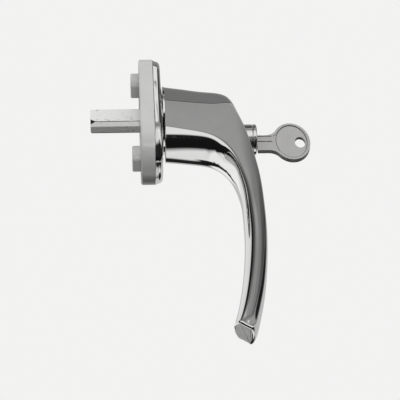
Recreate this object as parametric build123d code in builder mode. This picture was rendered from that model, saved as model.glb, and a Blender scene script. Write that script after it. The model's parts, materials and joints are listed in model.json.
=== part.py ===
from build123d import *
from math import cos, radians, sin, sqrt
import os

os.makedirs("parts", exist_ok=True)

# Locking window handle. Millimetres.
# The origin is the spindle axis at the face that sits against the window frame.
# +Y points into the window, +Z up, and the lever hangs down in its locked position.
# "Out" distances are counted from the mounting face into the room, along -Y.

# Mounting standard for window handles
SPINDLE_SIDE = 7.0
PEG_SPACING = 43.0
PEG_RADIUS = 5.0
SCREW_RADIUS = 2.6

# Clearances
RUNNING_GAP = 0.08
SLIDING_GAP = 0.05
FREE_GAP = 0.3
SEAM_GAP = 0.1

# Base plate of the rosette
PLATE_HEIGHT = 60.0
PLATE_WIDTH = 28.3
BASE_THICKNESS = 5.4
BASE_EDGE = 0.5
PEG_LENGTH = 3.3
PEG_FLAT = 4.1
PEG_EDGE = 0.4
HEAD_RADIUS = 4.6
HEAD_DEPTH = 3.2

# Cover cap of the rosette
COVER_THICKNESS = 3.2
COVER_ROUND = 1.9
COVER_WALL = 1.3
COVER_BOSS_WALL = 1.6

# Journal of the lever and what holds it in the base
JOURNAL_RADIUS = 7.9
JOURNAL_END_RADIUS = 6.6
JOURNAL_END_OUT = 0.3
RING_GROOVE_RADIUS = 6.1
BOSS_RADIUS = 12.0
WASHER_RADIUS = 9.7
WASHER_THICKNESS = 0.6
WASHER_RECESS = 1.6
RING_RADIUS = 7.8
RING_THICKNESS = 0.5
RING_OPENING = 3.0
BEARING_RADIUS = 13.5
BEARING_THICKNESS = 0.6

# Locking disc let into the base plate
DISC_RADIUS = 11.9
DISC_THICKNESS = 0.8

# Click stops
BALL_RADIUS = 1.25
POCKET_RADIUS = 1.35
POCKET_END = 14.2
NOTCH_DEPTH = 0.35
CLICK_SPRING_RADIUS = 0.95
CLICK_WIRE_RADIUS = 0.15
CLICK_TURNS = 4
CLICK_ANGLES = {"left": 135.0, "right": 45.0}
NOTCH_ANGLES = (45.0, 135.0, 225.0, 315.0)

# Spindle
SPINDLE_REACH = 19.4
SPINDLE_CHAMFER = 0.9
SPINDLE_EDGE = 0.35
SPINDLE_ROOT = 29.5
PIN_RADIUS = 1.0
PIN_OUT = 3.2

# Lock cylinder, pushed in to lock
LOCK_DROP = 11.8
LOCK_RADIUS = 6.1
LOCK_FRONT = 45.3
LOCK_BACK = 20.3
LOCK_BORE_END = 13.6
LOCK_RING_THICKNESS = 1.4
LOCK_RING_ROUND = 0.5
LOCK_SEAM = 0.35
LOCK_SEAM_DEPTH = 0.4

# Plug that the key turns, and the clip that holds it
PLUG_RADIUS = 4.2
PLUG_BACK = 26.3
PLUG_HEAD_RADIUS = 4.9
PLUG_HEAD_LENGTH = 1.6
PLUG_STUB_RADIUS = 3.2
PLUG_STUB_LENGTH = 1.3
CLIP_RADIUS = 4.6
CLIP_THICKNESS = 0.7
CLIP_ROOM = 0.3

# Locking bolt behind the cylinder, and its return spring
BOLT_RADIUS = 1.25
BOLT_DROP = 10.0
BOLT_TIP = 5.8
BOLT_HOLE_END = 2.5
BOLT_FLANGE = 2.0
LOCK_STOPS = 4
SPRING_RADIUS = 4.9
SPRING_WIRE_RADIUS = 0.4
SPRING_TURNS = 3.5

# Wafers of the lock
WAFER_COUNT = 5
WAFER_PITCH = 2.6
WAFER_FIRST = 4.0
WAFER_THICKNESS = 1.2
WAFER_WIDTH = 5.0
WAFER_HEIGHT = 6.6
WAFER_CHANNEL = 4.9

# Key
KEY_THICKNESS = 1.8
BLADE_HEIGHT = 4.6
BLADE_TOP = 1.7
BLADE_LENGTH = 17.0
BLADE_CUTS = (0.9, 0.5, 1.1, 0.75, 0.8)
BLADE_TIP = 1.2
BLADE_ROOT = 2.0
GROOVE_HEIGHT = 0.9
GROOVE_DEPTH = 0.3
GROOVE_SPACING = 3.0
GROOVE_END = 51.4
NECK_HEIGHT = 8.4
NECK_MIDDLE = -14.4
SHOULDER_GAP = 0.25
BOW_LENGTH = 14.6
BOW_HEIGHT = 20.6
BOW_END = 66.4
BOW_MIDDLE = -13.7
BOW_FILLET = 5.0
BOW_RIM = 1.2
BOW_RELIEF = 0.25
RELIEF_START = 52.0
RING_HOLE_WIDTH = 4.1
RING_HOLE_HEIGHT = 6.0
RING_HOLE_OUT = 62.4
RING_HOLE_UP = -14.2

# Lever casting: each row is a cross-section from its outer to its inner crest:
# outer crest (out, up), inner crest (out, up), half width, depth of the outer
# crown, depth of the inner crown, hollow of the side flute
NECK_START = 9.6
LEVER_SECTIONS = (
    ((9.6, 16.0), (9.6, -19.3), 9.0, 13.7, 6.6, 0.10),
    ((13.2, 15.2), (13.2, -19.5), 8.95, 13.4, 5.9, 0.10),
    ((17.0, 14.4), (17.0, -19.8), 8.9, 13.1, 5.2, 0.10),
    ((25.5, 12.5), (24.5, -20.9), 8.7, 12.2, 4.3, 0.10),
    ((32.0, 11.0), (28.6, -22.7), 8.4, 10.8, 3.7, 0.10),
    ((35.8, 8.0), (31.6, -25.8), 8.2, 7.6, 3.4, 0.10),
    ((38.2, 1.0), (33.8, -29.6), 8.1, 4.8, 3.2, 0.12),
    ((40.6, -9.0), (35.2, -33.6), 8.0, 3.4, 3.0, 0.15),
    ((42.8, -21.5), (36.3, -39.4), 7.7, 2.7, 2.8, 0.20),
    ((44.6, -35.0), (37.0, -46.0), 7.4, 2.2, 2.7, 0.25),
    ((45.3, -50.0), (37.1, -55.0), 6.9, 1.9, 2.7, 0.35),
    ((45.1, -65.0), (36.8, -66.0), 6.5, 1.7, 2.8, 0.50),
    ((43.9, -79.5), (35.7, -78.5), 6.0, 1.5, 2.8, 0.65),
    ((41.9, -93.0), (33.9, -90.5), 5.5, 1.4, 2.7, 0.75),
    ((39.4, -104.0), (31.6, -101.2), 5.1, 1.3, 2.5, 0.75),
    ((38.3, -108.0), (30.7, -104.4), 4.85, 1.3, 2.4, 0.60),
    ((37.2, -110.4), (30.0, -106.4), 4.7, 1.3, 2.3, 0.10),
    ((35.6, -111.9), (29.0, -108.6), 4.55, 1.2, 2.2, 0.10),
)
CROWN_POINTS = 9
CROWN_TURN_SHALLOW = 76.0
CROWN_TURN_DEEP = 80.0
CROWN_SHALLOW = 1.2
CROWN_DEEP = 13.7
BELLY_TURN = 78.0
TIP_INNER = (32.45, -106.86)
TIP_OUTER = (36.5, -110.7)

# Sizes that follow from those above
DISC_BACK = BASE_THICKNESS - DISC_THICKNESS
BOSS_BACK = BASE_THICKNESS + FREE_GAP
CLICK_OUT = (DISC_BACK + WASHER_RECESS) / 2
JOURNAL_SHOULDER = WASHER_RECESS - SEAM_GAP
RING_OUT = JOURNAL_SHOULDER - WASHER_THICKNESS - RING_THICKNESS
LOCK_Z = -LOCK_DROP
BOLT_Z = -BOLT_DROP
BARREL_BACK = LOCK_BACK + BOLT_FLANGE
BARREL_FRONT = LOCK_FRONT - LOCK_RING_THICKNESS
BARREL_SHOULDER = PLUG_BACK + SLIDING_GAP
PLUG_FRONT = LOCK_FRONT - SLIDING_GAP
KEY_SHOULDER = LOCK_FRONT + SHOULDER_GAP
BLADE_MIDDLE = LOCK_Z + BLADE_TOP - BLADE_HEIGHT / 2
BLADE_END = KEY_SHOULDER - BLADE_LENGTH
WINDOW_WIDTH = KEY_THICKNESS + 2 * RUNNING_GAP
WINDOW_HEIGHT = BLADE_HEIGHT + 2 * RUNNING_GAP


def room_plane(out):
    """Plane parallel to the mounting face, with its normal into the room."""
    return Plane.XZ.offset(out)


def save(piece, name):
    """Label a finished piece and write its file."""
    piece.part.label = name
    export_step(piece.part, "parts/" + name + ".step")


# Base plate: one moulding with its two pegs, which centre it on the frame
with BuildPart() as base_plate:
    with BuildSketch(room_plane(0)):
        SlotOverall(PLATE_HEIGHT, PLATE_WIDTH, rotation=90)
    extrude(amount=BASE_THICKNESS)
    back_edges = base_plate.faces().sort_by(Axis.Y)[-1].edges()
    chamfer(back_edges, length=BASE_EDGE)
    for side in (1, -1):
        with BuildSketch(room_plane(0)):
            with Locations((0, side * PEG_SPACING / 2)):
                Circle(PEG_RADIUS)
            with Locations((0, side * PEG_SPACING / 2 + (PEG_RADIUS - PEG_FLAT) / 2)):
                Rectangle(2 * PEG_RADIUS, PEG_RADIUS + PEG_FLAT, mode=Mode.INTERSECT)
        extrude(amount=-PEG_LENGTH)
    peg_edges = base_plate.faces().sort_by(Axis.Y)[-2:].edges()
    chamfer(peg_edges, length=PEG_EDGE)
    with BuildSketch(room_plane(-PEG_LENGTH)):
        with GridLocations(0, PEG_SPACING, 1, 2):
            Circle(SCREW_RADIUS)
    extrude(amount=PEG_LENGTH + BASE_THICKNESS, mode=Mode.SUBTRACT)
    with BuildSketch(room_plane(BASE_THICKNESS - HEAD_DEPTH)):
        with GridLocations(0, PEG_SPACING, 1, 2):
            Circle(HEAD_RADIUS)
    extrude(amount=HEAD_DEPTH, mode=Mode.SUBTRACT)
    with BuildSketch(room_plane(0)):
        Circle(JOURNAL_RADIUS + RUNNING_GAP)
    extrude(amount=BASE_THICKNESS, mode=Mode.SUBTRACT)
    with BuildSketch(room_plane(0)):
        Circle(WASHER_RADIUS + FREE_GAP)
    extrude(amount=WASHER_RECESS, mode=Mode.SUBTRACT)
    with BuildSketch(room_plane(DISC_BACK)):
        Circle(DISC_RADIUS)
    extrude(amount=DISC_THICKNESS, mode=Mode.SUBTRACT)
    with BuildSketch(room_plane(BOLT_HOLE_END)):
        with PolarLocations(BOLT_DROP, LOCK_STOPS):
            Circle(BOLT_RADIUS + FREE_GAP)
    extrude(amount=BASE_THICKNESS - BOLT_HOLE_END, mode=Mode.SUBTRACT)
    for angle in CLICK_ANGLES.values():
        toward = (cos(radians(angle)), 0, sin(radians(angle)))
        with BuildSketch(Plane(origin=(0, -CLICK_OUT, 0), x_dir=(0, 1, 0), z_dir=toward)):
            Circle(POCKET_RADIUS)
        extrude(amount=POCKET_END, mode=Mode.SUBTRACT)
save(base_plate, "base_plate")

# Steel disc with a hole for the locking bolt at each stop
with BuildPart() as locking_disc:
    with BuildSketch(room_plane(DISC_BACK)):
        Circle(DISC_RADIUS)
        Circle(JOURNAL_RADIUS + FREE_GAP, mode=Mode.SUBTRACT)
        with PolarLocations(BOLT_DROP, LOCK_STOPS):
            Circle(BOLT_RADIUS + FREE_GAP, mode=Mode.SUBTRACT)
    extrude(amount=DISC_THICKNESS)
save(locking_disc, "locking_disc")

# Click balls and their springs, in slanting pockets of the base plate
ball_centre = JOURNAL_RADIUS + SLIDING_GAP + BALL_RADIUS
spring_start = ball_centre + BALL_RADIUS
spring_length = POCKET_END - spring_start - 2 * CLICK_WIRE_RADIUS
for name, angle in CLICK_ANGLES.items():
    toward = Vector(cos(radians(angle)), 0, sin(radians(angle)))
    middle = Vector(0, -CLICK_OUT, 0)
    with BuildPart() as click_ball:
        with Locations(middle + toward * ball_centre):
            Sphere(BALL_RADIUS)
    save(click_ball, "click_ball_" + name)

    start = middle + toward * (spring_start + CLICK_WIRE_RADIUS)
    with BuildPart() as click_spring:
        with BuildLine() as coil:
            Helix(spring_length / CLICK_TURNS, spring_length, CLICK_SPRING_RADIUS, start, toward)
        with BuildSketch(Plane(origin=coil.line @ 0, z_dir=coil.line % 0)):
            Circle(CLICK_WIRE_RADIUS)
        sweep(is_frenet=True)
    save(click_spring, "click_spring_" + name)

# Cover cap: a thin shell with a rounded front edge and a boss round the neck
with BuildPart() as cover_plate:
    with BuildSketch(room_plane(BASE_THICKNESS + SEAM_GAP)):
        SlotOverall(PLATE_HEIGHT, PLATE_WIDTH, rotation=90)
    extrude(amount=COVER_THICKNESS)
    fillet(cover_plate.faces().sort_by(Axis.Y)[0].edges(), radius=COVER_ROUND)
    with BuildSketch(room_plane(BASE_THICKNESS + SEAM_GAP)):
        SlotOverall(PLATE_HEIGHT - 2 * COVER_WALL, PLATE_WIDTH - 2 * COVER_WALL, rotation=90)
        Circle(BOSS_RADIUS + COVER_BOSS_WALL, mode=Mode.SUBTRACT)
    extrude(amount=COVER_THICKNESS - COVER_WALL, mode=Mode.SUBTRACT)
    with BuildSketch(room_plane(BASE_THICKNESS)):
        Circle(BOSS_RADIUS + FREE_GAP)
    extrude(amount=COVER_THICKNESS + SEAM_GAP, mode=Mode.SUBTRACT)
save(cover_plate, "cover_plate")


def section_plane(outer, inner):
    """Plane across the lever through both crests; local Y runs from outer to inner."""
    run = Vector(0, outer[0] - inner[0], inner[1] - outer[1]).normalized()
    return Plane(origin=(0, -outer[0], outer[1]), x_dir=(1, 0, 0), z_dir=(0, -run.Z, run.Y))


def crown_points(half_width, height, turn):
    """Points of an elliptical crown whose ends have turned by the given angle."""
    across = half_width / sin(radians(turn))
    rise = height / (1 - cos(radians(turn)))
    steps = [2 * step / (CROWN_POINTS - 1) - 1 for step in range(CROWN_POINTS)]
    return [(across * sin(radians(turn * t)), rise * (1 - cos(radians(turn * t)))) for t in steps]


def crown_turn(height):
    """Deep crowns bulge past their sides, shallow ones meet them at a crisp corner."""
    share = (height - CROWN_SHALLOW) / (CROWN_DEEP - CROWN_SHALLOW)
    return CROWN_TURN_SHALLOW + (CROWN_TURN_DEEP - CROWN_TURN_SHALLOW) * share


# Lever: one casting, fluted on both sides, with its boss and journal
with BuildPart() as lever:
    for outer, inner, half_width, outer_crown, inner_crown, flute in LEVER_SECTIONS:
        depth = Vector(0, outer[0] - inner[0], outer[1] - inner[1]).length
        side_middle = (outer_crown + depth - inner_crown) / 2
        waist = half_width - flute
        crown = crown_points(half_width, outer_crown, crown_turn(outer_crown))
        belly = [(x, depth - u) for x, u in crown_points(half_width, inner_crown, BELLY_TURN)]
        belly.reverse()
        with BuildSketch(section_plane(outer, inner)):
            with BuildLine():
                Spline(*crown)
                Spline(crown[-1], (waist, side_middle), belly[0])
                Spline(*belly)
                Spline(belly[-1], (-waist, side_middle), crown[0])
            make_face()
    loft()
    tip_run = Vector(0, TIP_INNER[0] - TIP_OUTER[0], TIP_OUTER[1] - TIP_INNER[1])
    tip_normal = (0, -tip_run.Z, tip_run.Y)
    tip_plane = Plane(origin=(0, -TIP_INNER[0], TIP_INNER[1]), x_dir=(1, 0, 0), z_dir=tip_normal)
    split(bisect_by=tip_plane, keep=Keep.BOTTOM)
    with BuildSketch(room_plane(BOSS_BACK)):
        Circle(BOSS_RADIUS)
    extrude(amount=NECK_START - BOSS_BACK)
    with BuildSketch(room_plane(JOURNAL_SHOULDER)):
        Circle(JOURNAL_RADIUS)
    extrude(amount=BOSS_BACK - JOURNAL_SHOULDER)
    with BuildSketch(room_plane(JOURNAL_END_OUT)):
        Circle(JOURNAL_END_RADIUS)
    extrude(amount=JOURNAL_SHOULDER - JOURNAL_END_OUT)
    with BuildSketch(room_plane(RING_OUT)):
        Circle(JOURNAL_END_RADIUS)
        Circle(RING_GROOVE_RADIUS, mode=Mode.SUBTRACT)
    extrude(amount=RING_THICKNESS, mode=Mode.SUBTRACT)
    with BuildSketch(room_plane(JOURNAL_END_OUT)):
        Rectangle(SPINDLE_SIDE + 2 * SLIDING_GAP, SPINDLE_SIDE + 2 * SLIDING_GAP)
    extrude(amount=SPINDLE_ROOT - JOURNAL_END_OUT, mode=Mode.SUBTRACT)
    with BuildSketch(Plane.YZ):
        with Locations((-PIN_OUT, 0)):
            Circle(PIN_RADIUS)
    extrude(amount=JOURNAL_RADIUS, both=True, mode=Mode.SUBTRACT)
    for turn in NOTCH_ANGLES:
        toward = Vector(cos(radians(turn)), 0, sin(radians(turn)))
        notch = JOURNAL_RADIUS + BALL_RADIUS - NOTCH_DEPTH
        with Locations(Vector(0, -CLICK_OUT, 0) + toward * notch):
            Sphere(BALL_RADIUS, mode=Mode.SUBTRACT)
    with BuildSketch(room_plane(LOCK_BORE_END)):
        with Locations((0, LOCK_Z)):
            Circle(LOCK_RADIUS + RUNNING_GAP)
    extrude(amount=BOW_END - LOCK_BORE_END, mode=Mode.SUBTRACT)
    with BuildSketch(room_plane(BOSS_BACK)):
        with Locations((0, BOLT_Z)):
            Circle(BOLT_RADIUS + RUNNING_GAP)
    extrude(amount=LOCK_BORE_END - BOSS_BACK, mode=Mode.SUBTRACT)
save(lever, "lever")

# Bearing ring between the lever and the cover cap
with BuildPart() as bearing_ring:
    with BuildSketch(room_plane(NECK_START - BEARING_THICKNESS)):
        Circle(BEARING_RADIUS)
        Circle(BOSS_RADIUS + SLIDING_GAP, mode=Mode.SUBTRACT)
    extrude(amount=BEARING_THICKNESS)
save(bearing_ring, "bearing_ring")

# Square spindle that turns the window's mechanism
with BuildPart() as spindle:
    with BuildSketch(room_plane(-SPINDLE_REACH)):
        Rectangle(SPINDLE_SIDE, SPINDLE_SIDE)
    extrude(amount=SPINDLE_REACH + SPINDLE_ROOT - SEAM_GAP)
    chamfer(spindle.faces().sort_by(Axis.Y)[-1].edges(), length=SPINDLE_CHAMFER)
    fillet(spindle.edges().filter_by(Axis.Y), radius=SPINDLE_EDGE)
    with BuildSketch(Plane.YZ):
        with Locations((-PIN_OUT, 0)):
            Circle(PIN_RADIUS)
    extrude(amount=SPINDLE_SIDE, both=True, mode=Mode.SUBTRACT)
save(spindle, "spindle")

# Cross pin through the journal and the spindle
with BuildPart() as spindle_pin:
    with BuildSketch(Plane.YZ):
        with Locations((-PIN_OUT, 0)):
            Circle(PIN_RADIUS)
    extrude(amount=JOURNAL_RADIUS - FREE_GAP, both=True)
save(spindle_pin, "spindle_pin")

# Washer and snap ring that hold the journal in the base plate
with BuildPart() as retaining_washer:
    with BuildSketch(room_plane(JOURNAL_SHOULDER - WASHER_THICKNESS)):
        Circle(WASHER_RADIUS)
        Circle(JOURNAL_END_RADIUS + SLIDING_GAP, mode=Mode.SUBTRACT)
    extrude(amount=WASHER_THICKNESS)
save(retaining_washer, "retaining_washer")

with BuildPart() as snap_ring:
    with BuildSketch(room_plane(RING_OUT)):
        Circle(RING_RADIUS)
        Circle(RING_GROOVE_RADIUS, mode=Mode.SUBTRACT)
        with Locations((0, RING_RADIUS)):
            Rectangle(RING_OPENING, 2 * (RING_RADIUS - RING_GROOVE_RADIUS + FREE_GAP), mode=Mode.SUBTRACT)
    extrude(amount=RING_THICKNESS)
save(snap_ring, "snap_ring")

# Barrel of the lock: a tube with a fine groove behind its front ring
with BuildPart() as lock_barrel:
    with BuildSketch(room_plane(BARREL_BACK)):
        with Locations((0, LOCK_Z)):
            Circle(LOCK_RADIUS)
    extrude(amount=BARREL_FRONT - LOCK_SEAM - BARREL_BACK)
    with BuildSketch(room_plane(BARREL_FRONT - LOCK_SEAM)):
        with Locations((0, LOCK_Z)):
            Circle(LOCK_RADIUS - LOCK_SEAM_DEPTH)
    extrude(amount=LOCK_SEAM)
    with BuildSketch(room_plane(BARREL_BACK)):
        with Locations((0, LOCK_Z)):
            Circle(PLUG_RADIUS + SLIDING_GAP)
            Rectangle(WAFER_WIDTH + 2 * SLIDING_GAP, 2 * WAFER_CHANNEL)
    extrude(amount=LOCK_FRONT - BARREL_BACK, mode=Mode.SUBTRACT)
    with BuildSketch(room_plane(BARREL_BACK)):
        with Locations((0, LOCK_Z)):
            Circle(CLIP_RADIUS + CLIP_ROOM)
    extrude(amount=BARREL_SHOULDER - BARREL_BACK, mode=Mode.SUBTRACT)
save(lock_barrel, "lock_barrel")

with BuildPart() as lock_front_ring:
    with BuildSketch(room_plane(BARREL_FRONT)):
        with Locations((0, LOCK_Z)):
            Circle(LOCK_RADIUS)
            Circle(PLUG_HEAD_RADIUS + SLIDING_GAP, mode=Mode.SUBTRACT)
    extrude(amount=LOCK_RING_THICKNESS)
    rim = lock_front_ring.faces().sort_by(Axis.Y)[0].edges().sort_by(SortBy.LENGTH)[-1]
    fillet(rim, radius=LOCK_RING_ROUND)
save(lock_front_ring, "lock_front_ring")

# Plug with its keyway and wafer slots
wafer_places = [PLUG_FRONT - WAFER_FIRST - step * WAFER_PITCH for step in range(WAFER_COUNT)]
with BuildPart() as lock_plug:
    with BuildSketch(room_plane(PLUG_BACK)):
        with Locations((0, LOCK_Z)):
            Circle(PLUG_RADIUS)
    extrude(amount=PLUG_FRONT - PLUG_BACK)
    with BuildSketch(room_plane(PLUG_FRONT - PLUG_HEAD_LENGTH + LOCK_SEAM)):
        with Locations((0, LOCK_Z)):
            Circle(PLUG_HEAD_RADIUS)
    extrude(amount=PLUG_HEAD_LENGTH - LOCK_SEAM)
    with BuildSketch(room_plane(PLUG_BACK - PLUG_STUB_LENGTH)):
        with Locations((0, LOCK_Z)):
            Circle(PLUG_STUB_RADIUS)
    extrude(amount=PLUG_STUB_LENGTH)
    with BuildSketch(room_plane(BLADE_END - FREE_GAP)):
        with Locations((0, BLADE_MIDDLE)):
            Rectangle(KEY_THICKNESS + 2 * SLIDING_GAP, BLADE_HEIGHT + 2 * SLIDING_GAP)
    extrude(amount=PLUG_FRONT - BLADE_END + FREE_GAP, mode=Mode.SUBTRACT)
    for place in wafer_places:
        with BuildSketch(room_plane(place - WAFER_THICKNESS / 2 - SLIDING_GAP)):
            with Locations((0, LOCK_Z)):
                Rectangle(WAFER_WIDTH + 2 * SLIDING_GAP, 2 * PLUG_RADIUS)
        extrude(amount=WAFER_THICKNESS + 2 * SLIDING_GAP, mode=Mode.SUBTRACT)
save(lock_plug, "lock_plug")

for number, place in enumerate(wafer_places, start=1):
    with BuildPart() as wafer:
        with BuildSketch(room_plane(place - WAFER_THICKNESS / 2)):
            with Locations((0, LOCK_Z)):
                Rectangle(WAFER_WIDTH, WAFER_HEIGHT)
            with Locations((0, BLADE_MIDDLE)):
                Rectangle(WINDOW_WIDTH, WINDOW_HEIGHT, mode=Mode.SUBTRACT)
        extrude(amount=WAFER_THICKNESS)
    save(wafer, "wafer_" + str(number))

# Clip on the stub behind the plug
with BuildPart() as plug_clip:
    with BuildSketch(room_plane(PLUG_BACK - CLIP_THICKNESS)):
        with Locations((0, LOCK_Z)):
            Circle(CLIP_RADIUS)
            Circle(PLUG_STUB_RADIUS, mode=Mode.SUBTRACT)
    extrude(amount=CLIP_THICKNESS)
save(plug_clip, "plug_clip")

# Locking bolt: a flange on the barrel's back, with an eccentric pin
with BuildPart() as locking_bolt:
    with BuildSketch(room_plane(LOCK_BACK)):
        with Locations((0, LOCK_Z)):
            Circle(LOCK_RADIUS)
    extrude(amount=BOLT_FLANGE)
    with BuildSketch(room_plane(BOLT_TIP)):
        with Locations((0, BOLT_Z)):
            Circle(BOLT_RADIUS)
    extrude(amount=LOCK_BACK - BOLT_TIP)
save(locking_bolt, "locking_bolt")

# Return spring between the lever and the bolt's flange
with BuildPart() as lock_spring:
    coil_length = LOCK_BACK - LOCK_BORE_END - 2 * SPRING_WIRE_RADIUS - 2 * SLIDING_GAP
    coil_start = Vector(0, -LOCK_BORE_END - SPRING_WIRE_RADIUS - SLIDING_GAP, LOCK_Z)
    with BuildLine() as coil:
        Helix(coil_length / SPRING_TURNS, coil_length, SPRING_RADIUS, coil_start, (0, -1, 0))
    with BuildSketch(Plane(origin=coil.line @ 0, z_dir=coil.line % 0)):
        Circle(SPRING_WIRE_RADIUS)
    sweep(is_frenet=True)
save(lock_spring, "lock_spring")


# Key: flat and stamped, with an oval bow, a sunk panel and two grooves on each side
def key_outline(sketch, inset):
    """Bow and neck from the side: local X is along Y, so it is minus the out distance."""
    neck_length = BOW_END - BOW_LENGTH / 2 - KEY_SHOULDER
    with Locations((BOW_LENGTH / 2 - BOW_END, BOW_MIDDLE)):
        Ellipse(BOW_LENGTH / 2 - inset, BOW_HEIGHT / 2 - inset)
    with Locations((-KEY_SHOULDER - neck_length / 2, NECK_MIDDLE)):
        Rectangle(neck_length, NECK_HEIGHT - 2 * inset)
    waist = sketch.vertices().filter_by_position(Axis.X, BOW_LENGTH / 2 - BOW_END, -KEY_SHOULDER - 1)
    fillet(waist, radius=BOW_FILLET + inset)


with BuildPart() as key:
    with BuildSketch(Plane.YZ) as outline:
        key_outline(outline, 0)
    extrude(amount=KEY_THICKNESS / 2, both=True)
    with BuildSketch(Plane.YZ) as blade:
        with Locations((-KEY_SHOULDER + (BLADE_LENGTH - BLADE_ROOT) / 2, BLADE_MIDDLE)):
            Rectangle(BLADE_LENGTH + BLADE_ROOT, BLADE_HEIGHT)
        chamfer(blade.vertices().group_by(Axis.X)[-1], length=BLADE_TIP)
        for place, depth in zip(wafer_places, BLADE_CUTS):
            with Locations((-place, BLADE_MIDDLE + BLADE_HEIGHT / 2)):
                Rectangle(depth * sqrt(2), depth * sqrt(2), rotation=45, mode=Mode.SUBTRACT)
    extrude(amount=KEY_THICKNESS / 2, both=True)
    for side in (1, -1):
        with BuildSketch(Plane.YZ.offset(side * (KEY_THICKNESS / 2 - BOW_RELIEF))) as panel:
            key_outline(panel, BOW_RIM)
            with Locations((-RELIEF_START - BOW_END / 2, BOW_MIDDLE)):
                Rectangle(BOW_END, 2 * BOW_HEIGHT, mode=Mode.INTERSECT)
        extrude(amount=side * BOW_RELIEF, mode=Mode.SUBTRACT)
        with BuildSketch(Plane.YZ.offset(side * (KEY_THICKNESS / 2 - GROOVE_DEPTH))):
            with Locations((-(GROOVE_END + BLADE_END) / 2, BLADE_MIDDLE)):
                with GridLocations(0, GROOVE_SPACING, 1, 2):
                    Rectangle(GROOVE_END - BLADE_END, GROOVE_HEIGHT)
        extrude(amount=side * GROOVE_DEPTH, mode=Mode.SUBTRACT)
    with BuildSketch(Plane.YZ):
        with Locations((-RING_HOLE_OUT, RING_HOLE_UP)):
            Ellipse(RING_HOLE_WIDTH / 2, RING_HOLE_HEIGHT / 2)
    extrude(amount=KEY_THICKNESS, both=True, mode=Mode.SUBTRACT)
save(key, "key")
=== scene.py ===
import json
import math

import bmesh
import bpy
import numpy as np
from mathutils import Matrix, Vector


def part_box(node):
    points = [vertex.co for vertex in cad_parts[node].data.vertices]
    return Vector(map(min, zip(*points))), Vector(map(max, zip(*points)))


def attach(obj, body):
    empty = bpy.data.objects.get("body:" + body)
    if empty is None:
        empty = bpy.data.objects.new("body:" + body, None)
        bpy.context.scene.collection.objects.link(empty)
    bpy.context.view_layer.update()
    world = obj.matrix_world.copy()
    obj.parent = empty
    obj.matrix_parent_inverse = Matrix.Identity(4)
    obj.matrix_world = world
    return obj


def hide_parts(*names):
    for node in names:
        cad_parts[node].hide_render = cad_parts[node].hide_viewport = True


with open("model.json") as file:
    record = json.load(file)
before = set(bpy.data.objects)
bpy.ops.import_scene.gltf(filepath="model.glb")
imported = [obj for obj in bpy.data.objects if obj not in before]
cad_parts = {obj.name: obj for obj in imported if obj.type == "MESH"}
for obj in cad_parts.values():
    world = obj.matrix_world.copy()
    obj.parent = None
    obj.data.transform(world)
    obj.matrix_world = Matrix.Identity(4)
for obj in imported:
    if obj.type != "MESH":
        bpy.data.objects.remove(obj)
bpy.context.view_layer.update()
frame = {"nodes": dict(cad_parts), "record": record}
nodes = frame["nodes"]
scene = bpy.context.scene
MM = 0.001


# Materials

def new_material(name):
    """Material with an empty principled shader; returns it with its tree and shader."""
    mat = bpy.data.materials.new(name)
    mat.use_nodes = True
    tree = mat.node_tree
    tree.nodes.clear()
    out = tree.nodes.new("ShaderNodeOutputMaterial")
    shader = tree.nodes.new("ShaderNodeBsdfPrincipled")
    tree.links.new(shader.outputs["BSDF"], out.inputs["Surface"])
    return mat, tree, shader


def place_of(tree):
    """Object coordinates, in metres."""
    return tree.nodes.new("ShaderNodeTexCoord").outputs["Object"]


def stretched(tree, source, scale):
    """Coordinates scaled separately along X, Y and Z."""
    node = tree.nodes.new("ShaderNodeMapping")
    node.inputs["Scale"].default_value = scale
    tree.links.new(source, node.inputs["Vector"])
    return node.outputs["Vector"]


def noise(tree, source, scale, detail=2.0, roughness=0.5):
    node = tree.nodes.new("ShaderNodeTexNoise")
    node.inputs["Scale"].default_value = scale
    node.inputs["Detail"].default_value = detail
    node.inputs["Roughness"].default_value = roughness
    tree.links.new(source, node.inputs["Vector"])
    return node.outputs["Fac"]


def remap(tree, source, low, high, out_low, out_high):
    """Value moved from one range to another, clamped."""
    node = tree.nodes.new("ShaderNodeMapRange")
    node.inputs["From Min"].default_value = low
    node.inputs["From Max"].default_value = high
    node.inputs["To Min"].default_value = out_low
    node.inputs["To Max"].default_value = out_high
    tree.links.new(source, node.inputs["Value"])
    return node.outputs["Result"]


def blend_colour(tree, factor, first, second):
    node = tree.nodes.new("ShaderNodeMix")
    node.data_type = "RGBA"
    node.inputs["A"].default_value = (*first, 1)
    node.inputs["B"].default_value = (*second, 1)
    tree.links.new(factor, node.inputs["Factor"])
    return node.outputs["Result"]


def feed(tree, socket, value):
    """Number set on a socket, or another node's output linked to it."""
    if isinstance(value, (int, float)):
        socket.default_value = value
    else:
        tree.links.new(value, socket)


def math_node(tree, operation, first, second=0):
    node = tree.nodes.new("ShaderNodeMath")
    node.operation = operation
    feed(tree, node.inputs[0], first)
    feed(tree, node.inputs[1], second)
    return node.outputs["Value"]


def times(tree, first, second):
    return math_node(tree, "MULTIPLY", first, second)


def bump(tree, shader, height, distance, strength=1.0):
    node = tree.nodes.new("ShaderNodeBump")
    node.inputs["Distance"].default_value = distance
    node.inputs["Strength"].default_value = strength
    tree.links.new(height, node.inputs["Height"])
    tree.links.new(node.outputs["Normal"], shader.inputs["Normal"])


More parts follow.
